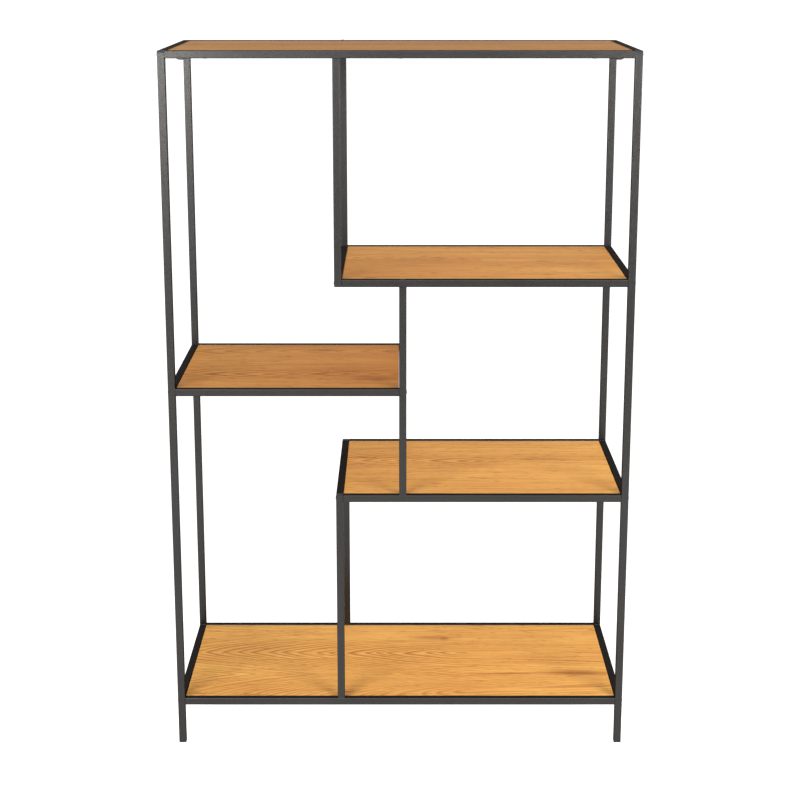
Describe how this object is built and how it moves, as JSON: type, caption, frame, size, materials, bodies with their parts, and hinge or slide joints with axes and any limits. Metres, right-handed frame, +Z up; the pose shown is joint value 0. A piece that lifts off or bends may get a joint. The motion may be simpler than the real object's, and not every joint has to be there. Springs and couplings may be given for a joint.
{
  "type": "staggered bookcase",
  "caption": "Open free-standing bookcase: black square-tube steel frame with staggered oak-look shelves let in flush between bolted rails.",
  "frame": {"origin": "on the floor under the centre of the bookcase", "axes": "+Z up, +X to the right seen from the front, +Y to the rear"},
  "size_m": [0.782, 0.35, 1.1559],
  "materials": {
    "frame_paint": "matt charcoal-black powder coat with a fine texture",
    "oak_board": "satin oak decor with straight and arched grain",
    "black_plastic": "moulded black plastic",
    "black_bolt": "black-coated steel",
    "zinc_steel": "bright zinc-plated steel"
  },
  "bodies": {
    "root": {"base_board": "oak_board", "base_board_tabs": "frame_paint", "base_front_rail": "frame_paint", "base_left_side_rail": "frame_paint", "base_rear_rail": "frame_paint", "base_right_side_rail": "frame_paint", "board_screws": "zinc_steel", "centre_mid_front_post": "frame_paint", "centre_mid_rear_post": "frame_paint", "corner_post_bolts": "black_bolt", "foot_glides": "black_plastic", "left_front_post": "frame_paint", "left_rear_post": "frame_paint", "left_wall_lug": "frame_paint", "lower_mid_front_post": "frame_paint", "lower_mid_rear_post": "frame_paint", "lower_shelf_board": "oak_board", "lower_shelf_board_tabs": "frame_paint", "lower_shelf_front_rail": "frame_paint", "lower_shelf_left_side_rail": "frame_paint", "lower_shelf_rear_rail": "frame_paint", "lower_shelf_right_side_rail": "frame_paint", "mid_post_bolts": "black_bolt", "mid_post_caps": "black_plastic", "mid_post_end_bolts": "black_bolt", "middle_shelf_board": "oak_board", "middle_shelf_board_tabs": "frame_paint", "middle_shelf_front_rail": "frame_paint", "middle_shelf_left_side_rail": "frame_paint", "middle_shelf_rear_rail": "frame_paint", "middle_shelf_right_side_rail": "frame_paint", "post_end_inserts": "zinc_steel", "post_top_caps": "black_plastic", "rail_end_inserts": "zinc_steel", "right_front_post": "frame_paint", "right_rear_post": "frame_paint", "right_wall_lug": "frame_paint", "top_board": "oak_board", "top_board_tabs": "frame_paint", "top_front_rail": "frame_paint", "top_left_side_rail": "frame_paint", "top_rear_rail": "frame_paint", "top_right_side_rail": "frame_paint", "upper_mid_front_post": "frame_paint", "upper_mid_rear_post": "frame_paint", "upper_shelf_board": "oak_board", "upper_shelf_board_tabs": "frame_paint", "upper_shelf_front_rail": "frame_paint", "upper_shelf_left_side_rail": "frame_paint", "upper_shelf_rear_rail": "frame_paint", "upper_shelf_right_side_rail": "frame_paint"}
  },
  "joints": []
}
